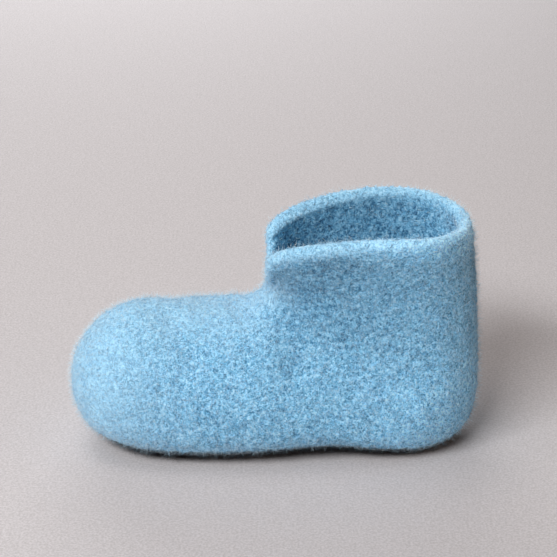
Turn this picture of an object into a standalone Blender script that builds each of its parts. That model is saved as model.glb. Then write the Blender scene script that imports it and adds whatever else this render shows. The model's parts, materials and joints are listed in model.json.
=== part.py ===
"""A felted knit slipper boot at its real size.

The slipper is knitted in the round from the toe to the collar and then felted, so foot, sole, heel and
shaft are one hollow body with a thick soft wall. It is open at the collar and down a notch in front, and
the edge round that opening is rolled a little thicker. A loose felt insole lies on its floor.

Metres, +Z up. The toe points to -X, the slipper is the same on both sides of Y = 0, and the origin is on
the floor under the middle of its length.
"""

import math
from typing import NamedTuple

import bmesh
import bpy
import numpy as np
from mathutils import Vector
from mathutils.bvhtree import BVHTree

# Driving dimensions
LENGTH = 0.250
BALL_WIDTH = 0.100
INSTEP_HEIGHT = 0.0895
COLLAR_HEIGHT = 0.149

# Felted fabric
WALL = 0.0065
RIM_ROLL = 0.0020
RIM_ROLL_DEPTH = 0.014

# Throat, where the top of the foot turns up into the shaft
THROAT_ALONG = 0.574
THROAT_RADIUS = 0.014
THROAT_FULLNESS = 0.16
ANKLE_HEIGHT = INSTEP_HEIGHT + THROAT_RADIUS

# The rim is highest here, and falls towards the notch in front and towards the back
RIM_LEVEL = COLLAR_HEIGHT - (WALL + RIM_ROLL) / 2
RIM_LEVEL_X = 0.072
RIM_FRONT_REACH = 0.074
RIM_FRONT_DROP = 0.0145
RIM_BACK_REACH = 0.044
RIM_BACK_DROP = 0.0020
RIM_DROP_POWER = 2.2
RIM_CORNER_X = 0.0075
RIM_CORNER_REACH = 0.0100
RIM_CORNER_DROP = 0.0045

# Felt insole, which lies just clear of the floor inside
INSOLE_THICKNESS = 0.0040
INSOLE_GAP = 0.0004
INSOLE_EDGE = 0.0010

# Mesh fineness
STEPS_PER_FOOT_ROW = 2
STEPS_PER_SHAFT_ROW = 1
HALF_COLUMNS = 22
RIM_STEPS = 6
INSOLE_STEPS = 2
INSOLE_COLUMNS = 4
OUTLINE_SAMPLES = 400
ANGLE_STEP = 0.004
PLACE_STEP = 0.02
MERGE_DISTANCE = 1e-5
TINY = 1e-9

WOOL_BLUE = (0.235, 0.490, 0.680, 1.0)
INSOLE_BLUE = (0.200, 0.420, 0.590, 1.0)
WOOL_ROUGHNESS = 0.95


class FootCourse(NamedTuple):
    """An upright round of the foot. Along is a share of LENGTH, and top and sole are of INSTEP_HEIGHT."""

    along: float
    top: float
    sole: float
    width: float
    belly: float
    top_power: float
    sole_power: float


class HeelCourse(NamedTuple):
    """A round that fans about the throat, given where it crosses the sole line or the back of the heel."""

    along: float
    height: float
    width: float
    belly: float
    top_power: float
    sole_power: float


class ShaftCourse(NamedTuple):
    """A round of the shaft, with rise 0 at the ankle and 1 at the rim, cut by the notch at its edge."""

    rise: float
    front: float
    edge: float
    back: float
    width: float
    belly: float
    front_power: float
    back_power: float


class InsoleStation(NamedTuple):
    """Where the insole is this wide to each side of its middle line."""

    along: float
    half_width: float


# Width is a share of BALL_WIDTH. Belly is how far from the top, or front, to the sole, or back, the round
# is widest. A power of 2 is an elliptic half, and a higher one is squarer.
FOOT = (
    FootCourse(1.000, 0.450, 0.450, 0.000, 0.55, 2.0, 2.0),
    FootCourse(0.994, 0.585, 0.325, 0.280, 0.56, 2.0, 2.0),
    FootCourse(0.976, 0.698, 0.208, 0.510, 0.58, 2.0, 2.1),
    FootCourse(0.940, 0.830, 0.102, 0.720, 0.61, 2.0, 2.2),
    FootCourse(0.892, 0.928, 0.048, 0.860, 0.63, 2.0, 2.4),
    FootCourse(0.832, 0.987, 0.006, 0.938, 0.65, 2.0, 2.6),
    FootCourse(0.748, 1.000, -0.022, 0.975, 0.66, 2.0, 2.7),
    FootCourse(0.660, 0.998, -0.022, 0.995, 0.66, 2.0, 2.7),
    FootCourse(0.615, 0.996, -0.020, 1.000, 0.66, 2.0, 2.7),
    FootCourse(THROAT_ALONG, 1.000, -0.012, 0.997, 0.66, 2.0, 2.7),
)
HEEL = (
    HeelCourse(0.480, 0.008, 0.985, 0.66, 2.05, 2.7),
    HeelCourse(0.400, 0.032, 0.955, 0.66, 2.1, 2.7),
    HeelCourse(0.320, 0.040, 0.925, 0.66, 2.15, 2.8),
    HeelCourse(0.236, 0.000, 0.898, 0.66, 2.2, 2.9),
    HeelCourse(0.140, -0.022, 0.872, 0.66, 2.25, 2.8),
    HeelCourse(0.070, 0.020, 0.846, 0.66, 2.3, 2.5),
    HeelCourse(0.025, 0.130, 0.816, 0.655, 2.3, 2.3),
    HeelCourse(0.005, 0.275, 0.783, 0.65, 2.3, 2.2),
    HeelCourse(0.000, 0.450, 0.750, 0.64, 2.3, 2.15),
    HeelCourse(0.002, 0.660, 0.722, 0.63, 2.3, 2.1),
    HeelCourse(0.006, 0.860, 0.706, 0.625, 2.3, 2.0),
    HeelCourse(0.010, 1.030, 0.702, 0.62, 2.3, 2.0),
)
SHAFT = (
    ShaftCourse(0.00, 0.518, 0.518, 0.012, 0.705, 0.620, 2.30, 2.00),
    ShaftCourse(0.08, 0.518, 0.518, 0.013, 0.709, 0.622, 2.30, 2.00),
    ShaftCourse(0.12, 0.519, 0.517, 0.014, 0.712, 0.624, 2.30, 2.00),
    ShaftCourse(0.18, 0.521, 0.515, 0.015, 0.717, 0.627, 2.30, 2.02),
    ShaftCourse(0.27, 0.526, 0.512, 0.017, 0.727, 0.631, 2.30, 2.05),
    ShaftCourse(0.40, 0.533, 0.510, 0.020, 0.745, 0.636, 2.30, 2.08),
    ShaftCourse(0.56, 0.542, 0.508, 0.023, 0.771, 0.643, 2.30, 2.10),
    ShaftCourse(0.72, 0.552, 0.507, 0.025, 0.799, 0.652, 2.28, 2.12),
    ShaftCourse(0.87, 0.561, 0.507, 0.029, 0.825, 0.660, 2.26, 2.14),
    ShaftCourse(1.00, 0.568, 0.507, 0.034, 0.846, 0.665, 2.25, 2.15),
)
NOTCH_FOOT = 0.08

# Half width of the insole at shares of the length, from toe to heel
INSOLE = (
    InsoleStation(0.918, 0.000),
    InsoleStation(0.910, 0.011),
    InsoleStation(0.885, 0.021),
    InsoleStation(0.830, 0.029),
    InsoleStation(0.740, 0.034),
    InsoleStation(0.620, 0.035),
    InsoleStation(0.500, 0.032),
    InsoleStation(0.380, 0.029),
    InsoleStation(0.260, 0.028),
    InsoleStation(0.150, 0.027),
    InsoleStation(0.092, 0.021),
    InsoleStation(0.066, 0.011),
    InsoleStation(0.058, 0.000),
)


class Course(NamedTuple):
    """One round of the body: its ends in the plane Y = 0, its half width and its form."""

    top_x: float
    top_z: float
    sole_x: float
    sole_z: float
    half_width: float
    belly: float
    top_power: float
    sole_power: float
    rise: float
    edge_x: float


def x_at(along):
    """The X of a share of the length, which is 0 at the back of the heel and 1 at the toe."""
    return LENGTH * (0.5 - along)


def unit(vectors):
    lengths = np.linalg.norm(vectors, axis=-1, keepdims=True)
    return vectors / np.maximum(lengths, TINY)


def course_of_foot(row):
    x = x_at(row.along)
    return Course(
        x, row.top * INSTEP_HEIGHT, x, row.sole * INSTEP_HEIGHT,
        row.width * BALL_WIDTH / 2, row.belly, row.top_power, row.sole_power, 0.0, x,
    )


def course_of_heel(row):
    """The round's plane passes through the centre of the throat's curve, so it starts on that curve."""
    hinge = np.array((x_at(THROAT_ALONG), ANKLE_HEIGHT))
    sole = np.array((x_at(row.along), row.height * INSTEP_HEIGHT))
    away = unit(sole - hinge)
    radius = THROAT_RADIUS * (1 + 2 * THROAT_FULLNESS * away[0] * away[1])
    top = hinge + radius * away
    return Course(
        top[0], top[1], sole[0], sole[1],
        row.width * BALL_WIDTH / 2, row.belly, row.top_power, row.sole_power, 0.0, top[0],
    )


def course_of_shaft(row):
    level = ANKLE_HEIGHT + row.rise * (RIM_LEVEL - ANKLE_HEIGHT)
    return Course(
        x_at(row.front), level, x_at(row.back), level,
        row.width * BALL_WIDTH / 2, row.belly, row.front_power, row.back_power, row.rise, x_at(row.edge),
    )


def on_curve(values, place):
    """The row at a place between whole rows, on a smooth curve through all of the rows."""
    slopes = np.gradient(values, axis=0)
    low = min(int(place), len(values) - 2)
    t = place - low
    return (
        (1 + 2 * t) * (1 - t) ** 2 * values[low] + t * (1 - t) ** 2 * slopes[low]
        + t * t * (3 - 2 * t) * values[low + 1] + t * t * (t - 1) * slopes[low + 1]
    )


def rim_drop(x):
    """How far the rim lies under its highest part: it falls to a corner in front, and a little behind."""
    ahead = np.clip((RIM_LEVEL_X - x) / RIM_FRONT_REACH, 0, None)
    behind = np.clip((x - RIM_LEVEL_X) / RIM_BACK_REACH, 0, None)
    corner = np.clip((RIM_CORNER_X - x) / RIM_CORNER_REACH, 0, None)
    slope = RIM_FRONT_DROP * ahead**RIM_DROP_POWER + RIM_BACK_DROP * behind**RIM_DROP_POWER
    return slope + RIM_CORNER_DROP * corner**2


def mirrored(points):
    return points * (1, -1, 1)


class Fabric:
    """The outer face of the knitted body, as points and normals.

    A place counts along the rounds from the toe, and an angle goes round them on the near side, from 0 at
    the top or front to pi at the sole or back.
    """

    def __init__(self):
        rows = [course_of_foot(row) for row in FOOT]
        rows += [course_of_heel(row) for row in HEEL]
        rows += [course_of_shaft(row) for row in SHAFT]
        self.rows = np.array(rows)
        self.last = len(rows) - 1

    def course(self, place):
        return Course(*on_curve(self.rows, np.clip(place, 0, self.last)))

    def points(self, place, angle):
        course = self.course(place)
        upper = angle <= math.pi / 2
        power = np.where(upper, course.top_power, course.sole_power)
        away = np.abs(np.cos(angle)) ** (2 / power)
        along = course.belly + np.where(upper, -course.belly * away, (1 - course.belly) * away)
        x = course.top_x + along * (course.sole_x - course.top_x)
        aside = np.sin(angle)
        y = -course.half_width * np.sign(aside) * np.abs(aside) ** (2 / power)
        z = course.top_z + along * (course.sole_z - course.top_z) - course.rise * rim_drop(x)
        return np.stack((x, y, np.clip(z, 0, None)), axis=1)

    def normals(self, place, angle):
        across = self.points(place, angle + ANGLE_STEP) - self.points(place, angle - ANGLE_STEP)
        onward = self.points(place + PLACE_STEP, angle) - self.points(place - PLACE_STEP, angle)
        return unit(np.cross(across, onward))

    def columns(self, place):
        """Evenly spaced angles on the near side, from the top, or the notch's edge, to the sole line."""
        course = self.course(place)
        start = 0.0
        if course.rise > NOTCH_FOOT:
            widest_x = course.top_x + course.belly * (course.sole_x - course.top_x)
            share = (widest_x - course.edge_x) / (widest_x - course.top_x)
            start = math.acos(share ** (course.top_power / 2))
        angle = np.linspace(start, math.pi, OUTLINE_SAMPLES)
        steps = np.linalg.norm(np.diff(self.points(place, angle), axis=0), axis=1)
        walked = np.concatenate(((0,), np.cumsum(steps)))
        return np.interp(np.linspace(0, walked[-1], HALF_COLUMNS + 1), walked, angle)


class Body:
    """The near half of the knitted body: its outer and inner faces, and the loop round its opening."""

    def __init__(self, fabric):
        shaft_start = len(FOOT) + len(HEEL)
        places = [*np.arange(0, shaft_start, 1 / STEPS_PER_FOOT_ROW)]
        places += [*np.arange(shaft_start, fabric.last + TINY, 1 / STEPS_PER_SHAFT_ROW)]
        angles = [fabric.columns(place) for place in places[1:]]
        angles.insert(0, angles[0])
        middle = np.array([fabric.points(*pair) for pair in zip(places, angles)])
        normals = np.array([fabric.normals(*pair) for pair in zip(places, angles)])
        middle[0] = middle[0, 0]
        normals[0] = (-1, 0, 0)
        first_open = next(k for k, place in enumerate(places) if fabric.course(place).rise > NOTCH_FOOT)
        for grid in (middle, normals):
            grid[:first_open, 0, 1] = 0
            grid[:, -1, 1] = 0
        last = len(places) - 1
        self.loop = [(row, 0) for row in range(first_open - 1, last)]
        self.loop += [(last, column) for column in range(HALF_COLUMNS + 1)]
        edge = np.array([middle[place] for place in self.loop])
        to_edge = np.linalg.norm(middle[:, :, None] - edge, axis=-1).min(axis=-1)
        near = np.clip(1 - to_edge / RIM_ROLL_DEPTH, 0, 1)
        roll = (RIM_ROLL / 2) * (near * near * (3 - 2 * near))[..., None]
        self.outer = middle + roll * normals
        self.inner = middle - (WALL + roll) * normals

    def edge_profiles(self):
        """Half-round strips across the wall round the loop, from the outer face to the inner one."""
        outer = np.array([self.outer[place] for place in self.loop])
        inner = np.array([self.inner[place] for place in self.loop])
        middle = (outer + inner) / 2
        before = np.concatenate((mirrored(middle[1:2]), middle[:-1]))
        after = np.concatenate((middle[1:], mirrored(middle[-2:-1])))
        thickness = outer - inner
        radius = np.linalg.norm(thickness, axis=1, keepdims=True) / 2
        beyond = radius * unit(np.cross(thickness, after - before))
        return [
            middle + math.cos(turn) * thickness / 2 + math.sin(turn) * beyond
            for turn in np.linspace(0, math.pi, RIM_STEPS + 1)[1:-1]
        ]

    def floor_tree(self):
        """The inner face as a tree to drop the insole on."""
        rows, columns = self.inner.shape[:2]
        points = [Vector(point) for point in self.inner.reshape(-1, 3)]
        return BVHTree.FromPolygons(points, grid_faces(rows, columns, 0))


def grid_faces(rows, columns, first, flip=False):
    """Quads over a grid of vertices that are numbered by rows from first."""
    faces = []
    for row in range(rows - 1):
        for column in range(columns - 1):
            corner = first + row * columns + column
            face = (corner, corner + 1, corner + columns + 1, corner + columns)
            faces.append(face[::-1] if flip else face)
    return faces


def felt_material(name, colour):
    material = bpy.data.materials.new(name)
    material.use_nodes = True
    shader = material.node_tree.nodes["Principled BSDF"]
    shader.inputs["Base Color"].default_value = colour
    shader.inputs["Roughness"].default_value = WOOL_ROUGHNESS
    shader.inputs["Metallic"].default_value = 0.0
    return material


def mirrored_object(name, points, faces, material):
    """An object from the near half of a closed form, with the far half made by a Mirror."""
    mesh = bpy.data.meshes.new(name)
    form = bmesh.new()
    vertices = [form.verts.new(point) for point in points]
    for face in faces:
        corners = [vertices[k] for k in face]
        form.faces.new(corners)
    bmesh.ops.remove_doubles(form, verts=form.verts, dist=MERGE_DISTANCE)
    bmesh.ops.dissolve_degenerate(form, edges=form.edges, dist=MERGE_DISTANCE)
    form.to_mesh(mesh)
    form.free()
    mesh.shade_smooth()
    mesh.materials.append(material)
    made = bpy.data.objects.new(name, mesh)
    bpy.context.scene.collection.objects.link(made)
    mirror = made.modifiers.new("far_side", "MIRROR")
    mirror.use_axis = (False, True, False)
    mirror.use_clip = True
    mirror.merge_threshold = MERGE_DISTANCE
    return made


def knit_body(body, material):
    """The felted body: outer face, inner face and the rolled edge that joins them round the opening."""
    rows, columns = body.outer.shape[:2]
    profiles = body.edge_profiles()
    points = [*body.outer.reshape(-1, 3), *body.inner.reshape(-1, 3)]
    inner_start = rows * columns
    faces = grid_faces(rows, columns, 0) + grid_faces(rows, columns, inner_start, flip=True)
    strips = [[row * columns + column for row, column in body.loop]]
    for profile in profiles:
        strips.append(list(range(len(points), len(points) + len(profile))))
        points.extend(profile)
    strips.append([inner_start + row * columns + column for row, column in body.loop])
    for low, high in zip(strips, strips[1:]):
        for step in range(len(low) - 1):
            faces.append((low[step], low[step + 1], high[step + 1], high[step]))
    return mirrored_object("knit_body", points, faces, material)


def insole(body, material):
    """A loose felt insole whose underside follows the floor inside the body."""
    rows = np.array(INSOLE)
    places = np.arange(0, len(rows) - 1 + TINY, 1 / INSOLE_STEPS)
    outline = np.array([on_curve(rows, place) for place in places])
    outline = np.stack((x_at(outline[:, 0]), -np.clip(outline[:, 1], 0, None)), axis=1)
    tree = body.floor_tree()
    under = []
    for x, y_edge in outline:
        for share in np.linspace(0, 1, INSOLE_COLUMNS + 1):
            y = y_edge * share
            above = Vector((x, min(y, -MERGE_DISTANCE), INSTEP_HEIGHT / 2))
            floor = tree.ray_cast(above, Vector((0, 0, -1)))[0]
            under.append((x, y, floor.z + INSOLE_GAP))
    under = np.array(under)
    over = under + (0, 0, INSOLE_THICKNESS)
    stations, columns = len(outline), INSOLE_COLUMNS + 1
    edge = np.concatenate((outline[1:2] * (1, -1), outline, outline[-2:-1] * (1, -1)))
    run = edge[2:] - edge[:-2]
    outward = unit(np.stack((run[:, 1], -run[:, 0]), axis=1))
    rim = under[columns - 1 :: columns] + (0, 0, INSOLE_THICKNESS / 2)
    rim[:, :2] += INSOLE_EDGE * outward
    rim[0, 1] = rim[-1, 1] = 0
    points = [*under, *over, *rim]
    size = stations * columns
    faces = grid_faces(stations, columns, 0, flip=True) + grid_faces(stations, columns, size)
    for step in range(stations - 1):
        low = (step + 1) * columns - 1
        middle = 2 * size + step
        faces.append((low, low + columns, middle + 1, middle))
        faces.append((middle, middle + 1, size + low + columns, size + low))
    return mirrored_object("insole", points, faces, material)


def clear_scene():
    for old in list(bpy.data.objects):
        bpy.data.objects.remove(old)


def main():
    clear_scene()
    body = Body(Fabric())
    knit_body(body, felt_material("felted_wool", WOOL_BLUE))
    insole(body, felt_material("insole_felt", INSOLE_BLUE))


main()
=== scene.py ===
"""Looks of a felted knit slipper boot: matted wool with its fuzz, and a felt insole, on a pale floor.

Metres, +Z up. The toe points to -X, and the camera sees the near side, which is -Y.
"""

import json
import logging
import math
from collections.abc import Sequence
from dataclasses import dataclass
from enum import Enum
from typing import NamedTuple

import bmesh
import bpy
import numpy as np
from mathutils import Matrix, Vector, noise

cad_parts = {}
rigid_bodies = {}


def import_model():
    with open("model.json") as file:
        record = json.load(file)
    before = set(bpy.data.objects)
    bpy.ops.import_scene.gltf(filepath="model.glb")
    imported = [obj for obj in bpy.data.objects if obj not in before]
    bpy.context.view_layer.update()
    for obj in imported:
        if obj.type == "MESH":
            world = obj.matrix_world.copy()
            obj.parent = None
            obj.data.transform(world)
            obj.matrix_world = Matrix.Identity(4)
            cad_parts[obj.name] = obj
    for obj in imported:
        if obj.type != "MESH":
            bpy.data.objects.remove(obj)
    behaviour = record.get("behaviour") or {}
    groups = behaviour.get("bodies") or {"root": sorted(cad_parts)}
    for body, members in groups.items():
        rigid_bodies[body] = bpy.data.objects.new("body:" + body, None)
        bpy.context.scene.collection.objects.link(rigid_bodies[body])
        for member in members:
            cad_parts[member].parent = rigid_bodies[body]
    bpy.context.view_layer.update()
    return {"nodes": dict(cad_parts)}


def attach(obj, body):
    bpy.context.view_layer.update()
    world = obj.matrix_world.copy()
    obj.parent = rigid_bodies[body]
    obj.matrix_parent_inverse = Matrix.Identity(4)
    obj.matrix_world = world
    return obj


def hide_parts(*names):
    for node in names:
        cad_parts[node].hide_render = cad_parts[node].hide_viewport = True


LOG = logging.getLogger("slipper")
BODY = "root"
WELD_DISTANCE = 1e-5

# Where the rim runs, as X and Z
RIM_LINE = (
    (-0.004, 0.126),
    (0.008, 0.134),
    (0.030, 0.142),
    (0.060, 0.147),
    (0.085, 0.148),
    (0.122, 0.146),
)

Point = tuple[float, float, float]
Colour = tuple[float, float, float, float]
Stops = tuple[tuple[float, Colour], ...]
Socket = bpy.types.NodeSocket

# The highest level of a screen colour, a colour's share with no loss, and the mean of coloured noise
FULL_LEVEL = 255
WHOLE: Point = (1.0, 1.0, 1.0)
NOISE_MIDDLE: Point = (0.5, 0.5, 0.5)


def display_colour(red: int, green: int, blue: int) -> Colour:
    """Turn a colour as a screen shows it into the linear one that a shader takes.

    Args:
        red: Red level, from 0 to 255.
        green: Green level, from 0 to 255.
        blue: Blue level, from 0 to 255.

    Returns:
        The linear colour with full alpha.
    """
    toe, slope, gamma, lift = 0.04045, 12.92, 2.4, 0.055
    levels = [level / FULL_LEVEL for level in (red, green, blue)]
    linear = [x / slope if x <= toe else ((x + lift) / (1 + lift)) ** gamma for x in levels]
    return (linear[0], linear[1], linear[2], 1.0)


def link_object(name: str, data: bpy.types.ID) -> bpy.types.Object:
    """Put a mesh, a lamp or a camera into the scene as a new object at the origin.

    Args:
        name: Name of the object.
        data: Its mesh, lamp or camera.

    Returns:
        The new object.
    """
    made = bpy.data.objects.new(name, data)
    bpy.context.scene.collection.objects.link(made)
    return made


def place_facing(name: str, data: bpy.types.ID, place: Point, aim: Point) -> bpy.types.Object:
    """Put a lamp or a camera into the scene so that it faces a point.

    Args:
        name: Name of the object.
        data: The lamp or camera.
        place: Where it is.
        aim: Point that it faces.

    Returns:
        The new object.
    """
    made = link_object(name, data)
    made.location = place
    made.rotation_euler = (Vector(aim) - Vector(place)).to_track_quat("-Z", "Y").to_euler()
    return made


def settled_mesh(piece: bpy.types.Object) -> bpy.types.Mesh:
    """Work out a piece's modifiers once and leave the result as its plain mesh.

    Args:
        piece: Object with modifiers.

    Returns:
        The new mesh, which the piece now has.
    """
    graph = bpy.context.evaluated_depsgraph_get()
    mesh = bpy.data.meshes.new_from_object(piece.evaluated_get(graph), depsgraph=graph)
    piece.modifiers.clear()
    piece.data = mesh
    mesh.name = piece.name
    return mesh


def read_vertices(mesh: bpy.types.Mesh, what: str) -> np.ndarray:
    """Read one vector of each vertex.

    Args:
        mesh: Mesh to read.
        what: Blender's name for the vector.

    Returns:
        An array with a row for each vertex.
    """
    flat = np.empty(len(mesh.vertices) * 3)
    mesh.vertices.foreach_get(what, flat)
    return flat.reshape(-1, 3)


def coordinates(mesh: bpy.types.Mesh) -> np.ndarray:
    """Read a mesh's vertices as an array of points."""
    return read_vertices(mesh, "co")


def set_coordinates(mesh: bpy.types.Mesh, points: np.ndarray) -> None:
    """Move a mesh's vertices to the given points."""
    mesh.vertices.foreach_set("co", points.ravel())
    mesh.update()


def vertex_normals(mesh: bpy.types.Mesh) -> np.ndarray:
    """Read a mesh's vertex normals as an array."""
    return read_vertices(mesh, "normal")


def store_values(mesh: bpy.types.Mesh, name: str, values: np.ndarray) -> None:
    """Keep one number for each vertex as a named attribute.

    Args:
        mesh: Mesh to write on.
        name: Name of the attribute.
        values: A number for each vertex.
    """
    made = mesh.attributes.new(name, "FLOAT", "POINT")
    made.data.foreach_set("value", values.astype(np.float32))


def smooth_share(values: np.ndarray, low: float, high: float) -> np.ndarray:
    """Ramp smoothly from 0 at low to 1 at high."""
    share = np.clip((values - low) / (high - low), 0, 1)
    return share * share * (3 - 2 * share)


def noise_at(points: np.ndarray, size: float, shift: float) -> np.ndarray:
    """Soft noise in lumps of a given size.

    Args:
        points: Places to read it at.
        size: Width of a lump.
        shift: Moves the pattern, so that two layers differ.

    Returns:
        A value from about -1 to 1 for each point.
    """
    return np.array([noise.noise(Vector(point)) for point in points / size + shift])


class NodeDesk:
    """Adds nodes to a tree, sets their inputs and joins them."""

    def __init__(self, tree: bpy.types.NodeTree) -> None:
        """Keep the tree to work on."""
        self.tree = tree

    @staticmethod
    def find(sockets: Sequence[Socket], key: str | int) -> Socket:
        """Find a socket by its place, or by the name of one that is in use."""
        named = (socket for socket in sockets if socket.name == key and socket.enabled)
        return sockets[key] if isinstance(key, int) else next(named)

    def add(self, kind: str, inputs: dict | None = None, **settings: object) -> bpy.types.Node:
        """Add a node.

        Args:
            kind: Blender's name for the kind of node.
            inputs: A value, or the socket to join, for each input's name or place.
            **settings: The node's own properties.

        Returns:
            The new node.
        """
        node = self.tree.nodes.new(kind)
        for name, value in settings.items():
            setattr(node, name, value)
        for key, value in (inputs or {}).items():
            target = self.find(node.inputs, key)
            if isinstance(value, Socket):
                self.tree.links.new(value, target)
            else:
                target.default_value = value
        return node

    def out(
        self, kind: str, inputs: dict | None = None, output: str | int = 0, **settings: object
    ) -> Socket:
        """Add a node and give back one of its outputs, the first unless it is named.

        Args:
            kind: Blender's name for the kind of node.
            inputs: A value, or the socket to join, for each input's name or place.
            output: Name or place of the output.
            **settings: The node's own properties.

        Returns:
            The output socket.
        """
        node = self.add(kind, inputs, **settings)
        return self.find(node.outputs, output)

    def math(self, operation: str, *values: object) -> Socket:
        """Add a shader or field sum of the given operation and give back its value."""
        return self.out("ShaderNodeMath", dict(enumerate(values)), operation=operation)

    def attribute(self, name: str) -> Socket:
        """Read a number that the mesh keeps under a name."""
        return self.out("ShaderNodeAttribute", output="Fac", attribute_name=name)

    def mix(self, share: Socket, under: object, over: object) -> Socket:
        """Lay a share of one colour over another."""
        inputs = {"Factor": share, "A": under, "B": over}
        return self.out("ShaderNodeMix", inputs, output="Result", data_type="RGBA")

    def speckle(self, size: float, detail: float, roughness: float, distortion: float = 0.0) -> Socket:
        """Add soft noise that stays with the piece.

        Args:
            size: Width of one speck.
            detail: How many finer layers it has.
            roughness: How strong the finer layers are.
            distortion: How far it is swirled.

        Returns:
            A value from 0 to 1.
        """
        inputs = {
            "Vector": self.out("ShaderNodeTexCoord", output="Object"),
            "Scale": 1 / size,
            "Detail": detail,
            "Roughness": roughness,
            "Distortion": distortion,
        }
        return self.out("ShaderNodeTexNoise", inputs, output="Fac")

    def ramp(self, factor: Socket, stops: Stops) -> Socket:
        """Add a colour ramp.

        Args:
            factor: What the ramp reads.
            stops: A place from 0 to 1 and a colour for each stop, in order.

        Returns:
            The colour output.
        """
        node = self.add("ShaderNodeValToRGB", {"Fac": factor})
        elements = node.color_ramp.elements
        for place, colour in stops[1:-1]:
            elements.new(place).color = colour
        for element, (place, colour) in ((elements[0], stops[0]), (elements[-1], stops[-1])):
            element.position = place
            element.color = colour
        return node.outputs["Color"]


def new_material(name: str) -> tuple[bpy.types.Material, NodeDesk, bpy.types.Node]:
    """Make a material with a Principled shader.

    Args:
        name: Name of the material.

    Returns:
        The material, a desk on its tree and its shader node.
    """
    material = bpy.data.materials.new(name)
    material.use_nodes = True
    desk = NodeDesk(material.node_tree)
    return material, desk, material.node_tree.nodes["Principled BSDF"]


class PaintedShading(Enum):
    """Painted shade, painted light and the painted shadow under the sole, by the mesh attribute that holds
    each.
    """

    DIMMED = "nap_dimmed"
    FROSTED = "nap_frosted"
    TRODDEN = "nap_trodden"


@dataclass(frozen=True)
class PaintedShadingLook:
    """How painted light and shade change a wool colour.

    Painted light lays a pale colour over it. Painted shade, and the painted shade of the gaps between
    pebbles, darken it. A loss is how much red, green and blue a colour loses in full painted shade, or in a
    full gap. Where a gap is less than gap_level, it is painted light on the pebbles instead. The painted
    shadow under the sole has its own colour.
    """

    # Pale colour laid on as painted light
    painted_light_colour: Colour
    # Colour lost in full painted shade
    loss: Point
    # Near-black colour of the painted shadow under the sole's edge
    trodden: Colour = display_colour(26, 28, 32)
    pebble: float = 0.0027
    # Colour lost in the painted shade of a full gap; below gap_level the pebbles get painted light
    gap_loss: Point = (0.39, 0.30, 0.25)
    gap_level: float = 0.35
    painted_light_fills_gaps: float = 2.2
    dimmed_deepens_gaps: float = 1.6
    gap_starts: float = 0.54
    gap_is_full: float = 0.34

    def pebbles(self, desk: NodeDesk) -> Socket:
        """Add the noise whose high parts are the felt's pebbles and whose low parts are the gaps."""
        return desk.speckle(self.pebble, detail=1.0, roughness=0.5, distortion=0.4)

    def over(self, desk: NodeDesk, colour: Socket) -> Socket:
        """Lay painted light and shade over a colour.

        Args:
            desk: Desk on the material's tree.
            colour: Colour to change.

        Returns:
            The changed colour.
        """
        lightened = desk.attribute(PaintedShading.FROSTED.value)
        dimmed = desk.attribute(PaintedShading.DIMMED.value)
        # Painted shade in the gaps between pebbles, and painted light on the pebbles
        gap = desk.out(
            "ShaderNodeMapRange",
            {"Value": self.pebbles(desk), "From Min": self.gap_starts, "From Max": self.gap_is_full},
            output="Result",
        )
        contrast = desk.math("MULTIPLY_ADD", dimmed, self.dimmed_deepens_gaps, 1.0)
        contrast = desk.math("MULTIPLY_ADD", lightened, -self.painted_light_fills_gaps, contrast)
        contrast = desk.math("MAXIMUM", contrast, 0.0)
        gap = desk.math("MULTIPLY", desk.math("SUBTRACT", gap, self.gap_level), contrast)
        # Painted light first, then painted shade and the gaps' painted shade, then the painted shadow under
        # the sole
        colour = desk.mix(lightened, colour, self.painted_light_colour)
        for share, loss in ((dimmed, self.loss), (gap, self.gap_loss)):
            lost = desk.out("ShaderNodeVectorMath", {0: loss, "Scale": share}, operation="SCALE")
            kept = desk.out("ShaderNodeVectorMath", {0: WHOLE, 1: lost}, operation="SUBTRACT")
            colour = desk.out("ShaderNodeVectorMath", {0: colour, 1: kept}, operation="MULTIPLY")
        return desk.mix(desk.attribute(PaintedShading.TRODDEN.value), colour, self.trodden)


@dataclass(frozen=True)
class WoolSurface:
    """How wool takes the light."""

    roughness: float
    specular: float
    sheen: float
    sheen_roughness: float = 0.4
    sheen_tint: Colour = display_colour(230, 238, 245)

    def set_on(self, shader: bpy.types.Node) -> None:
        """Set the plain values of a shader.

        Args:
            shader: Principled shader to set.
        """
        for label, value in (
            ("Roughness", self.roughness),
            ("Specular IOR Level", self.specular),
            ("Sheen Weight", self.sheen),
            ("Sheen Roughness", self.sheen_roughness),
            ("Sheen Tint", self.sheen_tint),
        ):
            shader.inputs[label].default_value = value


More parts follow.
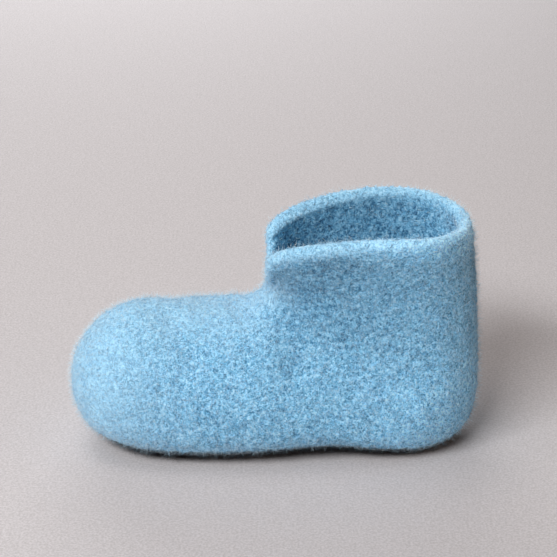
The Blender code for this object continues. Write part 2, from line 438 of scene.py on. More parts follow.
@dataclass(frozen=True)
class MattedWool:
    """Felted wool cloth: mottled blue, matted strands in relief and a soft sheen, with painted light and
    shade laid over.

    The shares say how much mottle, strands and grain count in the tone, and deep_at, middle_at and light_at
    say which tone gets which colour. The heights of grain and pebbles are shares of the strands' height.
    """

    name: str
    deep: Colour
    middle: Colour
    light: Colour
    painted_shading: PaintedShadingLook
    mottle_size: float = 0.011
    mottle_share: float = 0.10
    strand_size: float = 0.0016
    strand_share: float = 0.70
    grain_size: float = 0.0008
    grain_share: float = 0.20
    deep_at: float = 0.40
    middle_at: float = 0.50
    light_at: float = 0.60
    grain_height: float = 0.3
    pebble_height: float = 1.2
    relief: float = 0.0006
    relief_strength: float = 0.9
    surface: WoolSurface = WoolSurface(roughness=0.95, specular=0.15, sheen=0.45)

    def material(self) -> bpy.types.Material:
        """Build the cloth's material.

        Returns:
            The new material.
        """
        material, desk, shader = new_material(self.name)
        mottle = desk.speckle(self.mottle_size, detail=2.0, roughness=0.5)
        strands = desk.speckle(self.strand_size, detail=3.0, roughness=0.6, distortion=1.2)
        grain = desk.speckle(self.grain_size, detail=2.0, roughness=0.6)
        tone = desk.math("MULTIPLY", mottle, self.mottle_share)
        tone = desk.math("MULTIPLY_ADD", strands, self.strand_share, tone)
        tone = desk.math("MULTIPLY_ADD", grain, self.grain_share, tone)
        stops = ((self.deep_at, self.deep), (self.middle_at, self.middle), (self.light_at, self.light))
        colour = self.painted_shading.over(desk, desk.ramp(tone, stops))
        height = desk.math("MULTIPLY_ADD", grain, self.grain_height, strands)
        height = desk.math("MULTIPLY_ADD", self.painted_shading.pebbles(desk), self.pebble_height, height)
        bump = desk.out(
            "ShaderNodeBump",
            {"Strength": self.relief_strength, "Distance": self.relief, "Height": height},
            output="Normal",
        )
        material.node_tree.links.new(colour, shader.inputs["Base Color"])
        material.node_tree.links.new(bump, shader.inputs["Normal"])
        self.surface.set_on(shader)
        return material


@dataclass(frozen=True)
class WoolFibre:
    """Loose wool fibre, each strand of its own tone, under the painted light and shade of the cloth it
    grows on.
    """

    name: str
    deep: Colour
    middle: Colour
    light: Colour
    painted_shading: PaintedShadingLook
    surface: WoolSurface = WoolSurface(roughness=0.8, specular=0.2, sheen=0.28)

    def material(self) -> bpy.types.Material:
        """Build the fibre's material, which reads the tone of each strand.

        Returns:
            The new material.
        """
        material, desk, shader = new_material(self.name)
        stops = ((0.0, self.deep), (0.5, self.middle), (1.0, self.light))
        colour = self.painted_shading.over(desk, desk.ramp(desk.attribute(FibreTree.TONE), stops))
        material.node_tree.links.new(colour, shader.inputs["Base Color"])
        self.surface.set_on(shader)
        return material


@dataclass(frozen=True)
class PalePaper:
    """The plain pale floor, with a faint mottle."""

    name: str = "pale_paper"
    light: Colour = display_colour(209, 205, 207)
    dark: Colour = display_colour(187, 183, 184)
    light_at: float = 0.65
    dark_at: float = 0.35
    mottle_size: float = 0.0014
    roughness: float = 0.9
    specular: float = 0.2

    def material(self) -> bpy.types.Material:
        """Build the floor's material.

        Returns:
            The new material.
        """
        material, desk, shader = new_material(self.name)
        mottle = desk.speckle(self.mottle_size, detail=3.0, roughness=0.6)
        colour = desk.ramp(mottle, ((self.dark_at, self.dark), (self.light_at, self.light)))
        material.node_tree.links.new(colour, shader.inputs["Base Color"])
        shader.inputs["Roughness"].default_value = self.roughness
        shader.inputs["Specular IOR Level"].default_value = self.specular
        return material


class Cover(Enum):
    """Where fibres grow. The value names the mesh attribute that thins them elsewhere."""

    OUTSIDE = "cover_outside"
    FUZZY = "cover_fuzzy"
    INSIDE = "cover_inside"
    SOLE_EDGE = "cover_sole_edge"


class Bend(Enum):
    """How a fibre's middle line runs from root to tip.

    The values are its sideways swings at a third, at two thirds and at the tip, as shares of its length.
    """

    LEFT = (0.10, 0.16, 0.10)
    RIGHT = (-0.10, -0.16, -0.10)
    WAVE = (0.14, -0.02, -0.16)
    BACK_WAVE = (-0.14, 0.02, 0.16)
    HOOK = (0.03, 0.14, 0.34)


@dataclass(frozen=True)
class Crease:
    """A soft trough along a straight line on the near side, or a ridge where its depth is below 0.

    The far side has the same crease, but shallower.
    """

    start: Point
    end: Point
    width: float
    depth: float
    inward: Point
    far_share: float = 0.7

    def moved(self, points: np.ndarray) -> np.ndarray:
        """Work out how far the crease moves each point.

        Args:
            points: Points of the cloth, on both faces of its wall.

        Returns:
            A move for each point.
        """
        start, end = np.array(self.start), np.array(self.end)
        run = end - start
        side = np.where(points[:, 1] > 0, -1.0, 1.0)
        near = points * np.stack((np.ones_like(side), side, np.ones_like(side)), axis=1)
        along = np.clip((near - start) @ run / (run @ run), 0, 1)
        away = np.linalg.norm(near - start - along[:, None] * run, axis=1)
        share = np.exp(-((away / self.width) ** 2)) * np.where(side > 0, 1.0, self.far_share)
        move = share[:, None] * self.depth * np.array(self.inward)
        move[:, 1] *= side * smooth_share(np.abs(points[:, 1]), 0.0, self.width)
        return move


class Draw(Enum):
    """What is drawn at random for each fibre. The value is added to its family's seed."""

    SPIN = 0
    LIFT = 1
    LENGTH = 2
    TONE = 3


class FibreTree:
    """A Geometry Nodes tree that scatters closed fibre shapes over a cloth and lays them down."""

    TONE = "tone"
    ALONG = "along"
    LIFTS = ("Lowest Lift", "Highest Lift")
    SIZES = ("Density", "Length", "Shortest", *LIFTS, "Curl", "Curl Size", "Sink", "Floor")

    def __init__(self, name: str) -> None:
        """Build the tree with its named inputs.

        Args:
            name: Name of the tree.
        """
        self.tree = bpy.data.node_groups.new(name, "GeometryNodeTree")
        for kind, labels in (
            ("NodeSocketGeometry", ("Cloth",)),
            ("NodeSocketString", ("Cover",)),
            ("NodeSocketCollection", ("Shapes",)),
            ("NodeSocketInt", ("Seed",)),
            ("NodeSocketMaterial", ("Finish",)),
            ("NodeSocketFloat", self.SIZES),
        ):
            for label in labels:
                self.tree.interface.new_socket(label, in_out="INPUT", socket_type=kind)
        self.tree.interface.new_socket("Fibres", in_out="OUTPUT", socket_type="NodeSocketGeometry")
        self.desk = NodeDesk(self.tree)
        self.given = self.desk.add("NodeGroupInput").outputs
        self._lay_out()

    def _lay_out(self) -> None:
        """Add the nodes, from points on the cloth to fibres with their curl and finish."""
        desk, given = self.desk, self.given
        cover = desk.out("GeometryNodeInputNamedAttribute", {"Name": given["Cover"]}, data_type="FLOAT")
        density = desk.math("MULTIPLY", cover, given["Density"])
        spread = desk.add(
            "GeometryNodeDistributePointsOnFaces",
            {"Mesh": given["Cloth"], "Density": density, "Seed": given["Seed"]},
            distribute_method="RANDOM",
        ).outputs
        sunk = desk.out(
            "ShaderNodeVectorMath",
            {0: spread["Normal"], "Scale": desk.math("MULTIPLY", given["Sink"], -1.0)},
            operation="SCALE",
        )
        points = desk.out("GeometryNodeSetPosition", {"Geometry": spread["Points"], "Offset": sunk})
        shapes = desk.out(
            "GeometryNodeCollectionInfo",
            {"Collection": given["Shapes"], "Separate Children": True, "Reset Children": True},
        )
        scale = desk.math("MULTIPLY", self._draw(Draw.LENGTH, given["Shortest"], 1.0), given["Length"])
        turn = self._turn(spread["Rotation"])
        grown = desk.out(
            "GeometryNodeInstanceOnPoints",
            {"Points": points, "Instance": shapes, "Pick Instance": True, "Rotation": turn, "Scale": scale},
        )
        grown = desk.out(
            "GeometryNodeStoreNamedAttribute",
            {"Geometry": grown, "Name": self.TONE, "Value": self._draw(Draw.TONE, 0.0, 1.0)},
            data_type="FLOAT",
            domain="INSTANCE",
        )
        grown = desk.out("GeometryNodeRealizeInstances", {"Geometry": grown})
        grown = desk.out("GeometryNodeSetPosition", {"Geometry": grown, "Offset": self._curl()})
        parts = desk.add("ShaderNodeSeparateXYZ", {0: desk.out("GeometryNodeInputPosition")}).outputs
        height = desk.math("MAXIMUM", parts["Z"], given["Floor"])
        place = desk.out("ShaderNodeCombineXYZ", {"X": parts["X"], "Y": parts["Y"], "Z": height})
        grown = desk.out("GeometryNodeSetPosition", {"Geometry": grown, "Position": place})
        grown = desk.out("GeometryNodeSetMaterial", {"Geometry": grown, "Material": given["Finish"]})
        desk.add("NodeGroupOutput", {"Fibres": grown})

    def _draw(self, what: Draw, low: object, high: object) -> Socket:
        """Add a random number for each fibre, between two numbers or the sockets that give them."""
        inputs = {"Min": low, "Max": high, "Seed": self.desk.math("ADD", self.given["Seed"], what.value)}
        return self.desk.out("FunctionNodeRandomValue", inputs, output="Value", data_type="FLOAT")

    def _turn(self, upright: Socket) -> Socket:
        """Add the nodes that spin each fibre on the cloth and lift its tip.

        Args:
            upright: Rotation of what stands upright on the cloth.

        Returns:
            The rotation of each fibre.
        """
        spin = self._draw(Draw.SPIN, 0.0, math.tau)
        lift = self._draw(Draw.LIFT, *(self.given[label] for label in self.LIFTS))
        pitch = self.desk.math("MULTIPLY", lift, -1.0)
        turn = self.desk.out("ShaderNodeCombineXYZ", {"Y": pitch, "Z": spin})
        turn = self.desk.out("FunctionNodeEulerToRotation", {"Euler": turn})
        inputs = {"Rotation": upright, "Rotate By": turn}
        return self.desk.out("FunctionNodeRotateRotation", inputs, rotation_space="LOCAL")

    def _curl(self) -> Socket:
        """Add the nodes of the curl, which grows towards the tip.

        Returns:
            The move of each vertex.
        """
        desk, given = self.desk, self.given
        place = desk.out("GeometryNodeInputPosition")
        swirl = desk.out(
            "ShaderNodeTexNoise",
            {"Vector": place, "Scale": desk.math("DIVIDE", 1.0, given["Curl Size"]), "Detail": 0.0},
            output="Color",
        )
        swirl = desk.out("ShaderNodeVectorMath", {0: swirl, 1: NOISE_MIDDLE}, operation="SUBTRACT")
        along = desk.out("GeometryNodeInputNamedAttribute", {"Name": self.ALONG}, data_type="FLOAT")
        reach = desk.math("MULTIPLY", along, given["Curl"])
        return desk.out("ShaderNodeVectorMath", {0: swirl, "Scale": reach}, operation="SCALE")

    def grow(self, cloth: bpy.types.Object, name: str, values: dict[str, object]) -> bpy.types.Object:
        """Grow one family of fibres on a cloth.

        Args:
            cloth: Object that has the cover attribute.
            name: Name of the new piece.
            values: A value for each of the tree's inputs except the cloth.

        Returns:
            The fibres, as one piece with a plain mesh.
        """
        piece = link_object(name, cloth.data)
        modifier = piece.modifiers.new("fibres", "NODES")
        modifier.node_group = self.tree
        names = {item.name: item.identifier for item in self.tree.interface.items_tree}
        for label, value in values.items():
            modifier[names[label]] = value
        settled_mesh(piece).shade_smooth()
        return piece


@dataclass
class FibreFamily:
    """One kind of fibre on the cloth and how it lies."""

    name: str
    cover: Cover
    fibre: WoolFibre
    density: float
    seed: int
    length: float
    shortest: float
    lowest_lift: float
    highest_lift: float
    thickness: float
    rings: int
    curl: float
    curl_size: float
    hump: float
    sink: float = 0.0001
    sides: int = 3
    floor: float = 0.0001
    taper: float = 0.75

    def shape(self, bend: Bend) -> bpy.types.Object:
        """Build one closed fibre of unit length along +X, pointed at both ends.

        It bows up to its hump in the middle. A taper below 1 makes it thickest nearer to its root.

        Args:
            bend: How its middle line runs.

        Returns:
            The fibre, which is in no scene.
        """
        knots = np.linspace(0, 1, 1 + len(bend.value))
        along = np.linspace(0, 1, self.rings + 2)
        sideways = np.interp(along, knots, (0.0, *bend.value))
        upward = self.hump * 4 * along * (1 - along)
        radius = self.thickness / self.length / 2 * np.sin(np.pi * along ** self.taper)
        turns = np.linspace(0, math.tau, self.sides, endpoint=False)
        points = [(0.0, 0.0, 0.0)]
        for x, y, z, r in zip(along[1:-1], sideways[1:-1], upward[1:-1], radius[1:-1]):
            points += [(x, y + r * math.cos(turn), z + r * math.sin(turn)) for turn in turns]
        points.append((1.0, sideways[-1], upward[-1]))
        last = len(points) - 1
        faces = []
        for side in range(self.sides):
            here, there = side, (side + 1) % self.sides
            faces.append((0, 1 + there, 1 + here))
            for ring in range(self.rings - 1):
                low = 1 + ring * self.sides
                high = low + self.sides
                faces.append((low + here, low + there, high + there, high + here))
            low = last - self.sides
            faces.append((low + here, low + there, last))
        mesh = bpy.data.meshes.new(f"{self.name}_{bend.name.lower()}")
        mesh.from_pydata(points, [], faces)
        store_values(mesh, FibreTree.ALONG, np.array([point[0] for point in points]))
        return bpy.data.objects.new(mesh.name, mesh)

    def grow(self, tree: FibreTree, cloth: bpy.types.Object) -> bpy.types.Object:
        """Grow the family on a cloth.

        Args:
            tree: The tree that scatters the fibres.
            cloth: What they grow on.

        Returns:
            The fibres as one piece.
        """
        shapes = bpy.data.collections.new(f"{self.name}_shapes")
        for bend in Bend:
            shapes.objects.link(self.shape(bend))
        values = {label: getattr(self, label.lower().replace(" ", "_")) for label in FibreTree.SIZES}
        values |= {
            "Cover": self.cover.value,
            "Shapes": shapes,
            "Seed": self.seed,
            "Finish": self.fibre.material(),
        }
        piece = tree.grow(cloth, self.name, values)
        for used in list(shapes.objects):
            bpy.data.objects.remove(used)
        bpy.data.collections.remove(shapes)
        return piece


@dataclass
class FeltPiece:
    """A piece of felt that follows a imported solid: an even soft skin with matted lumps."""

    node: str
    name: str
    slot: str
    finish: MattedWool
    grain: float
    lump: float
    lump_height: float
    pill: float
    pill_height: float
    rounding: int = 2
    soften: int = 3
    soften_factor: float = 0.5
    lump_shift: float = 3.1
    pill_shift: float = 7.7

    def skin(self, solid: bpy.types.Object) -> bpy.types.Object:
        """Copy the solid, round its facets off and cover it with even small faces.

        Args:
            solid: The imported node's object, which is left alone.

        Returns:
            The new piece with a plain mesh.
        """
        form = bmesh.new()
        form.from_mesh(solid.data)
        bmesh.ops.remove_doubles(form, verts=form.verts, dist=WELD_DISTANCE)
        mesh = bpy.data.meshes.new(self.name)
        form.to_mesh(mesh)
        form.free()
        mesh.materials.clear()
        piece = link_object(self.name, mesh)
        rounded = piece.modifiers.new("rounded", "SUBSURF")
        rounded.levels = rounded.render_levels = self.rounding
        even = piece.modifiers.new("even", "REMESH")
        even.mode = "VOXEL"
        even.voxel_size = self.grain
        soft = piece.modifiers.new("soft", "SMOOTH")
        soft.iterations = self.soften
        soft.factor = self.soften_factor
        settled_mesh(piece)
        return piece

    def mat(self, piece: bpy.types.Object) -> None:
        """Raise the felt's lumps and pills on a piece, without going under the floor.

        Args:
            piece: Piece to shape.
        """
        points = coordinates(piece.data)
        height = self.lump_height * noise_at(points, self.lump, self.lump_shift)
        height += self.pill_height * noise_at(points, self.pill, self.pill_shift)
        points += height[:, None] * vertex_normals(piece.data)
        points[:, 2] = np.maximum(points[:, 2], 0.0)
        set_coordinates(piece.data, points)

    def dress(self, piece: bpy.types.Object) -> None:
        """Give a piece its finish, fix it to the body and hide the solid that it stands for.

        Args:
            piece: The finished piece.
        """
        piece.data.materials.append(self.finish.material())
        piece.data.shade_smooth()
        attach(piece, BODY)
        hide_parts(self.node)


class Reading(Enum):
    """What is read at each vertex of the skin: its place in metres, or where its normal points."""

    ALONG = "from toe to heel"
    HEIGHT = "above the floor"
    BELOW_RIM = "below the rim"
    UPWARD = "normal points up"
    FORWARD = "normal points to the toe"
    SIDEWAYS = "normal points out to its own side"
    OUTWARD = "normal points out of the hollow"


Skin = dict[Reading, np.ndarray]


class Fade(NamedTuple):
    """A soft step along one reading: 0 where it starts, and its strength where it is full."""

    reads: Reading
    starts: float
    full: float
    strength: float = 1.0

    def share(self, skin: Skin) -> np.ndarray:
        """Work out the fade at each vertex."""
        return self.strength * smooth_share(skin[self.reads], self.starts, self.full)


class Spot(NamedTuple):
    """A soft oval on both sides of the slipper, with its full strength in the middle."""

    along: float
    height: float
    wide: float
    tall: float
    strength: float

    def share(self, skin: Skin) -> np.ndarray:
        """Work out the spot at each vertex."""
        along, height = skin[Reading.ALONG] - self.along, skin[Reading.HEIGHT] - self.height
        return self.strength * np.exp(-((along / self.wide) ** 2) - (height / self.tall) ** 2)


def overlap(skin: Skin, fades: tuple[Fade, ...]) -> np.ndarray:
    """Multiply fades, so that the share is 1 only where all of them are full."""
    return math.prod(fade.share(skin) for fade in fades)


@dataclass(frozen=True)
class CoverPlan:
    """How thickly each kind of fuzz covers the body."""

    inner_face: tuple[Fade, ...] = (
        Fade(Reading.OUTWARD, 0.0, -0.35),
        Fade(Reading.SIDEWAYS, 0.45, 0.15),
    )
    off_floor: Fade = Fade(Reading.HEIGHT, 0.0004, 0.0030)
    thinner_under: Fade = Fade(Reading.UPWARD, -0.45, -0.75, strength=0.8)
    thinner_heel: Fade = Fade(Reading.ALONG, -0.050, 0.030, strength=0.3)
    sole_turn: Fade = Fade(Reading.UPWARD, -0.94, -0.75, strength=0.30)
    side_turn: Fade = Fade(Reading.UPWARD, -0.60, -0.40, strength=0.70)
    near_floor: Fade = Fade(Reading.HEIGHT, 0.026, 0.010)

    def mark(self, mesh: bpy.types.Mesh, skin: Skin, inside: np.ndarray) -> None:
        """Keep the covers on the mesh.

        Args:
            mesh: Mesh of the skin.
            skin: Its readings.
            inside: How far each vertex is on the inner face.
        """
        outer = 1 - inside
        outside = outer * self.off_floor.share(skin) * (1 - self.thinner_under.share(skin))
        fuzzy = outside * (1 - self.thinner_heel.share(skin))
        turned = self.sole_turn.share(skin) + self.side_turn.share(skin)
        sole_edge = outer * turned * self.near_floor.share(skin)
        store_values(mesh, Cover.OUTSIDE.value, outside)
        store_values(mesh, Cover.FUZZY.value, fuzzy)
        store_values(mesh, Cover.INSIDE.value, inside)
        store_values(mesh, Cover.SOLE_EDGE.value, sole_edge)


class PaintedShadingZone(NamedTuple):
    """A part of the outer face, and how much painted shade and painted light it gets.

    Where its painted shade is below 0, it is painted light instead.
    """

    fades: tuple[Fade, ...]
    dims: float = 0.0
    light_amount: float = 0.0


@dataclass(frozen=True)
class PaintedShadingPlan:
    """Where painted shade darkens the wool, painted light lightens it and the painted shadow under the sole
    lies.

    The painted shade on the shaft's darker side is spared towards the back, in a spot below the rim and at
    the front edge of the flap. The painted shade in the hollow is lighter towards the back, in three fades,
    and it starts lower down there.
    """

    outer_dims: float = -0.04
    # Painted shade on the shaft, standing in for its darker side
    shaft: PaintedShadingZone = PaintedShadingZone(
        dims=0.36,
        fades=(
            Fade(Reading.HEIGHT, 0.052, 0.100),
            Fade(Reading.ALONG, -0.018, 0.004),
            Fade(Reading.ALONG, 0.094, 0.066),
            Fade(Reading.UPWARD, 0.60, 0.10),
            Fade(Reading.BELOW_RIM, 0.002, 0.008),
        ),
    )
    spared_back: Fade = Fade(Reading.ALONG, 0.024, 0.066, strength=0.55)
    spared_spot: Spot = Spot(along=0.026, height=0.097, wide=0.020, tall=0.010, strength=0.35)
    spared_flap: float = 0.8
    # Painted shade at the front of the ankle
    ankle: Spot = Spot(along=0.006, height=0.080, wide=0.016, tall=0.020, strength=0.19)
    # Painted light on the front edge of the flap
    flap_front: PaintedShadingZone = PaintedShadingZone(
        light_amount=0.50,
        fades=(
            Fade(Reading.FORWARD, 0.18, 0.70),
            Fade(Reading.HEIGHT, 0.078, 0.090),
            Fade(Reading.ALONG, 0.020, 0.0),
        ),
    )
    # Below 0, painted light: on the heel, on the back below the rim and on the side of the foot
    heel: PaintedShadingZone = PaintedShadingZone(
        dims=-0.12,
        fades=(Fade(Reading.ALONG, 0.040, 0.095), Fade(Reading.HEIGHT, 0.085, 0.045)),
    )
    rim_back: PaintedShadingZone = PaintedShadingZone(
        dims=-0.26,
        fades=(Fade(Reading.ALONG, 0.020, 0.080), Fade(Reading.BELOW_RIM, 0.020, 0.006)),
    )
    side: PaintedShadingZone = PaintedShadingZone(
        dims=-0.04,
        fades=(Fade(Reading.ALONG, -0.070, -0.030), Fade(Reading.HEIGHT, 0.075, 0.045)),
    )
    # Painted light on the toe, its front, the upward faces and the foot's edge near the floor
    toe: PaintedShadingZone = PaintedShadingZone(
        dims=-0.03,
        light_amount=0.38,
        fades=(Fade(Reading.ALONG, -0.040, -0.112),),
    )
    toe_front: PaintedShadingZone = PaintedShadingZone(
        light_amount=0.45,
        fades=(Fade(Reading.FORWARD, 0.30, 0.95), Fade(Reading.ALONG, -0.060, -0.090)),
    )
    top: PaintedShadingZone = PaintedShadingZone(
        light_amount=0.33,
        fades=(Fade(Reading.UPWARD, 0.50, 1.00), Fade(Reading.HEIGHT, 0.040, 0.070)),
    )
    foot_edge: PaintedShadingZone = PaintedShadingZone(
        light_amount=0.30,
        fades=(
            Fade(Reading.HEIGHT, 0.020, 0.006),
            Fade(Reading.UPWARD, -0.60, -0.40),
            Fade(Reading.ALONG, 0.070, 0.020),
        ),
    )
    # Painted light along the rim
    rim: Fade = Fade(Reading.BELOW_RIM, 0.005, 0.001, strength=0.27)
    # Painted shadow under the sole's edge, near the floor
    sole: tuple[Fade, ...] = (
        Fade(Reading.UPWARD, -0.44, -0.70),
        Fade(Reading.HEIGHT, 0.016, 0.008),
    )
    # Painted shade in the hollow, darkest deep down at the front
    hollow_dims: float = 0.74
    hollow_lighter: tuple[Fade, ...] = (
        Fade(Reading.ALONG, 0.006, 0.031, strength=0.28),
        Fade(Reading.ALONG, 0.055, 0.075, strength=0.10),
        Fade(Reading.ALONG, 0.088, 0.112, strength=0.26),
    )
    hollow_wall: Fade = Fade(Reading.UPWARD, 0.90, 0.40)
    hollow_back: Fade = Fade(Reading.ALONG, 0.060, 0.110)
    depth_in_front: Fade = Fade(Reading.BELOW_RIM, 0.0004, 0.0032)
    depth_at_back: Fade = Fade(Reading.BELOW_RIM, 0.001, 0.018)

    def _outer_marks(self, skin: Skin) -> tuple[np.ndarray, np.ndarray]:
        """Work out the painted shade and painted light of the outer face.

        Args:
            skin: Readings of the skin.

        Returns:
            How far each vertex is dimmed by painted shade, which below 0 is painted light, and how far it
            takes painted light.
        """
        shaft = self.shaft.dims * overlap(skin, self.shaft.fades)
        shaft *= 1 - self.spared_back.share(skin)
        shaft *= 1 - self.spared_spot.share(skin)
        shaft *= 1 - self.spared_flap * overlap(skin, self.flap_front.fades)
        dimmed = self.outer_dims + shaft + self.ankle.share(skin)
        lightened = np.zeros_like(dimmed)
        sides = (self.flap_front, self.heel, self.rim_back, self.side)
        fronts = (self.toe, self.toe_front, self.top, self.foot_edge)
        for part in sides + fronts:
            share = overlap(skin, part.fades)
            dimmed += part.dims * share
            lightened = np.maximum(lightened, part.light_amount * share)
        return dimmed, lightened

    def _hollow_marks(self, skin: Skin) -> np.ndarray:
        """Work out the painted shade of the inner face.

        Args:
            skin: Readings of the skin.

        Returns:
            How far each vertex takes painted shade.
        """
        dimmed = self.hollow_dims - sum(fade.share(skin) for fade in self.hollow_lighter)
        back = self.hollow_back.share(skin)
        depth = (1 - back) * self.depth_in_front.share(skin) + back * self.depth_at_back.share(skin)
        return dimmed * self.hollow_wall.share(skin) * depth

    def mark(self, mesh: bpy.types.Mesh, skin: Skin, inside: np.ndarray) -> None:
        """Keep the painted shade, painted light and painted sole shadow on the mesh.

        Args:
            mesh: Mesh of the skin.
            skin: Its readings.
            inside: How far each vertex is on the inner face.
        """
        outer = 1 - inside
        dimmed, lightened = self._outer_marks(skin)
        store_values(mesh, PaintedShading.DIMMED.value, outer * dimmed + inside * self._hollow_marks(skin))
        store_values(mesh, PaintedShading.TRODDEN.value, outer * overlap(skin, self.sole))
        store_values(mesh, PaintedShading.FROSTED.value, np.maximum(outer * lightened, self.rim.share(skin)))


@dataclass
class KnitBody:
    """The felted body with its creases, its painted light and shade, and its fuzz."""

    felt: FeltPiece
    creases: tuple[Crease, ...]
    families: tuple[FibreFamily, ...]
    middle_line: tuple[Point, ...]
    covers: CoverPlan = CoverPlan()
    painted_shading: PaintedShadingPlan = PaintedShadingPlan()

    def _outwardness(self, points: np.ndarray, normals: np.ndarray) -> np.ndarray:
        """How far each normal points away from the middle of the hollow.

        Args:
            points: Points of the skin.
            normals: Their normals.

        Returns:
            About 1 on the outer face, -1 on the inner one and 0 on the rolled edge.
        """
        best = np.full(len(points), np.inf)
        away = np.zeros_like(points)
        line = np.array(self.middle_line)
        for start, end in zip(line, line[1:]):
            run = end - start
            along = np.clip((points - start) @ run / (run @ run), 0, 1)
            offset = points - start - along[:, None] * run
            distance = np.linalg.norm(offset, axis=1)
            nearer = distance < best
            best[nearer] = distance[nearer]
            away[nearer] = offset[nearer] / distance[nearer, None]
        return np.einsum("ij,ij->i", away, normals)

    def _readings(self, mesh: bpy.types.Mesh) -> Skin:
        """Read the skin at each vertex.

        Args:
            mesh: Mesh of the skin.

        Returns:
            The readings, each with a number for every vertex.
        """
        points, normals = coordinates(mesh), vertex_normals(mesh)
        x, y, z = points.T
        rim_x, rim_z = np.array(RIM_LINE).T
        return {
            Reading.ALONG: x,
            Reading.HEIGHT: z,
            Reading.BELOW_RIM: np.interp(x, rim_x, rim_z) - z,
            Reading.UPWARD: normals[:, 2],
            Reading.FORWARD: -normals[:, 0],
            Reading.SIDEWAYS: normals[:, 1] * np.sign(y),
            Reading.OUTWARD: self._outwardness(points, normals),
        }

    def _mark(self, mesh: bpy.types.Mesh) -> None:
        """Keep on the mesh where its fuzz grows and where its light and shade are painted.

        Args:
            mesh: Mesh of the skin.
        """
        skin = self._readings(mesh)
        inside = overlap(skin, self.covers.inner_face)
        self.covers.mark(mesh, skin, inside)
        self.painted_shading.mark(mesh, skin, inside)

    def build(self, solid: bpy.types.Object) -> list[bpy.types.Object]:
        """Make the body and its fuzz.

        Args:
            solid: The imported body's object.

        Returns:
            The body and its fibre pieces.
        """
        body = self.felt.skin(solid)
        points = coordinates(body.data)
        points += sum(crease.moved(points) for crease in self.creases)
        set_coordinates(body.data, points)
        self.felt.mat(body)
        self._mark(body.data)
        self.felt.dress(body)
        tree = FibreTree("lay_fibres")
        pieces = [body]
        for family in self.families:
            fuzz = family.grow(tree, body)
            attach(fuzz, BODY)
            pieces.append(fuzz)
        return pieces


@dataclass
class Insole:
    """The loose felt insole."""

    felt: FeltPiece

    def build(self, solid: bpy.types.Object) -> bpy.types.Object:
        """Make the insole.

        Args:
            solid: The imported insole's object.

        Returns:
            The insole.
        """
        piece = self.felt.skin(solid)
        self.felt.mat(piece)
        self.felt.dress(piece)
        return piece


class AreaLamp(NamedTuple):
    """A large soft lamp that faces the slipper."""

    name: str
    place: Point
    wide: float
    tall: float
    watts: float
    colour: Colour


@dataclass
class Studio:
    """Pale floor, soft lamps, dim surroundings and the camera."""

    floor: PalePaper
    lamps: tuple[AreaLamp, ...]
    surround: Colour
    surround_strength: float
    eye: Point
    aim: Point
    lens: float
    sensor: float
    floor_size: float = 6.0
    floor_drop: float = 0.0002
    lamp_aim: Point = (0.0, 0.0, 0.05)

    def lay_floor(self) -> None:
        """Lay the floor just under the sole."""
        half, level = self.floor_size / 2, -self.floor_drop
        mesh = bpy.data.meshes.new("floor")
        corners = [(-half, -half, level), (half, -half, level), (half, half, level), (-half, half, level)]
        mesh.from_pydata(corners, [], [(0, 1, 2, 3)])
        mesh.materials.append(self.floor.material())
        link_object("floor", mesh)

    def hang_lamps(self) -> None:
        """Hang the lamps and set the light that comes from all round."""
        for lamp in self.lamps:
            light = bpy.data.lights.new(lamp.name, "AREA")
            light.shape = "RECTANGLE"
            light.size = lamp.wide
            light.size_y = lamp.tall
            light.energy = lamp.watts
            light.color = lamp.colour[:3]
            place_facing(lamp.name, light, lamp.place, self.lamp_aim)
        world = bpy.data.worlds.new("surround")
        world.use_nodes = True
        background = world.node_tree.nodes["Background"]
        background.inputs["Color"].default_value = self.surround
        background.inputs["Strength"].default_value = self.surround_strength
        bpy.context.scene.world = world

    def set_camera(self) -> None:
        """Place the camera, looking down at the near side."""
        camera = bpy.data.cameras.new("camera")
        camera.lens = self.lens
        camera.sensor_width = self.sensor
        bpy.context.scene.camera = place_facing("camera", camera, self.eye, self.aim)

    def build(self) -> None:
        """Set up the whole studio."""
        self.lay_floor()
        self.hang_lamps()
        self.set_camera()
        bpy.context.scene.view_settings.view_transform = "Standard"


